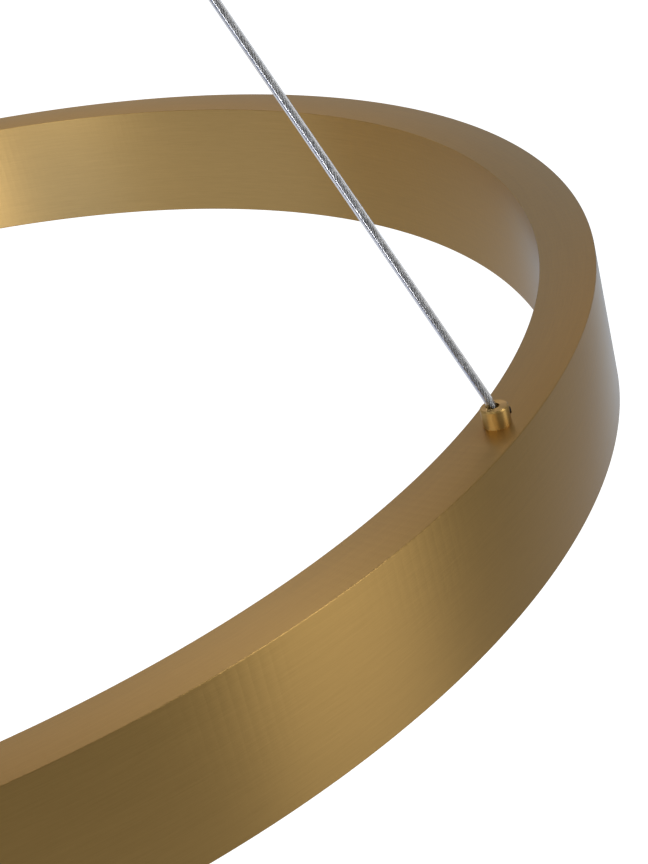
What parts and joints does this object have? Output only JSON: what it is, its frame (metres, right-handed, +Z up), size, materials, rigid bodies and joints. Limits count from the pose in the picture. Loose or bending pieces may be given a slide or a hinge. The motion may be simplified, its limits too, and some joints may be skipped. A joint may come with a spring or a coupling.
{
  "type": "ring pendant light",
  "caption": "Brass-finish ring pendant light with an opal underside, hung on clear cables from a round ceiling canopy that holds its driver.",
  "frame": {"origin": "centre of the ceiling bracket's upper face, which lies against the ceiling", "axes": "+Z up into the ceiling and along the ring's axis, +X along the ceiling bracket, +Y towards the single cable at the back"},
  "size_m": [0.6, 0.6, 0.5941],
  "materials": {
    "brushed_brass_finish": "brushed along the ring, satin brass colour",
    "turned_brass": "turned, satin",
    "clear_cable": "clear jacket over tinned strands",
    "opal_plastic": "opal, satin",
    "bare_aluminium": "mill",
    "zinc_steel": "zinc plated",
    "black_steel": "black oxide",
    "white_circuit": "white solder mask",
    "light_chip": "yellow phosphor",
    "white_plastic": "moulded",
    "green_circuit": "green solder mask",
    "wound_core": "dark ferrite and tape",
    "capacitor_sleeve": "dark shrink sleeve",
    "lead_sleeve": "soft insulation",
    "foam_pad": "adhesive foam"
  },
  "bodies": {
    "canopy": {"ceiling_bracket": "zinc_steel", "canopy_cover": "brushed_brass_finish", "canopy_screws": "zinc_steel", "earth_screw": "zinc_steel", "terminal_block": "white_plastic", "terminal_screws": "zinc_steel", "terminal_fixing_screws": "zinc_steel", "driver_pad": "foam_pad", "driver_case": "white_plastic", "driver_lid": "white_plastic", "driver_board": "green_circuit", "driver_transformer": "wound_core", "driver_capacitor": "capacitor_sleeve", "mains_leads": "lead_sleeve", "output_leads": "lead_sleeve", "gripper_studs": "turned_brass", "gripper_nuts": "zinc_steel", "upper_cable_stops": "turned_brass", "gripper_body_1": "turned_brass", "gripper_body_2": "turned_brass", "gripper_body_3": "turned_brass", "gripper_spring_1": "zinc_steel", "gripper_spring_2": "zinc_steel", "gripper_spring_3": "zinc_steel", "suspension_cable_1": "clear_cable", "suspension_cable_2": "clear_cable", "suspension_cable_3": "clear_cable"},
    "ring": {"ring_channel": "brushed_brass_finish", "diffuser": "opal_plastic", "light_tray": "bare_aluminium", "tray_standoffs": "bare_aluminium", "tray_screws": "zinc_steel", "light_strip": "white_circuit", "light_chips": "light_chip", "ferrule_nuts": "zinc_steel", "ferrule_set_screws": "black_steel", "lower_cable_stops": "turned_brass", "feed_leads": "lead_sleeve", "ferrule_1": "turned_brass", "ferrule_2": "turned_brass", "ferrule_3": "turned_brass"},
    "nipple_1": {"gripper_nipple_1": "turned_brass", "gripper_balls_1": "zinc_steel"},
    "nipple_2": {"gripper_nipple_2": "turned_brass", "gripper_balls_2": "zinc_steel"},
    "nipple_3": {"gripper_nipple_3": "turned_brass", "gripper_balls_3": "zinc_steel"}
  },
  "joints": [
    {"name": "ring_height", "type": "slide", "parent": "canopy", "child": "ring", "axis": [0, 0, 1], "range_m": [0, 0.2], "deforming": ["suspension_cable_1", "suspension_cable_2", "suspension_cable_3"]},
    {"name": "nipple_1_push", "type": "slide", "parent": "canopy", "child": "nipple_1", "axis": [0, 0, 1], "range_m": [0, 0.002], "stiffness_N_per_m": 1500, "deforming": ["gripper_spring_1"]},
    {"name": "nipple_2_push", "type": "slide", "parent": "canopy", "child": "nipple_2", "axis": [0, 0, 1], "range_m": [0, 0.002], "stiffness_N_per_m": 1500, "deforming": ["gripper_spring_2"]},
    {"name": "nipple_3_push", "type": "slide", "parent": "canopy", "child": "nipple_3", "axis": [0, 0, 1], "range_m": [0, 0.002], "stiffness_N_per_m": 1500, "deforming": ["gripper_spring_3"]}
  ]
}
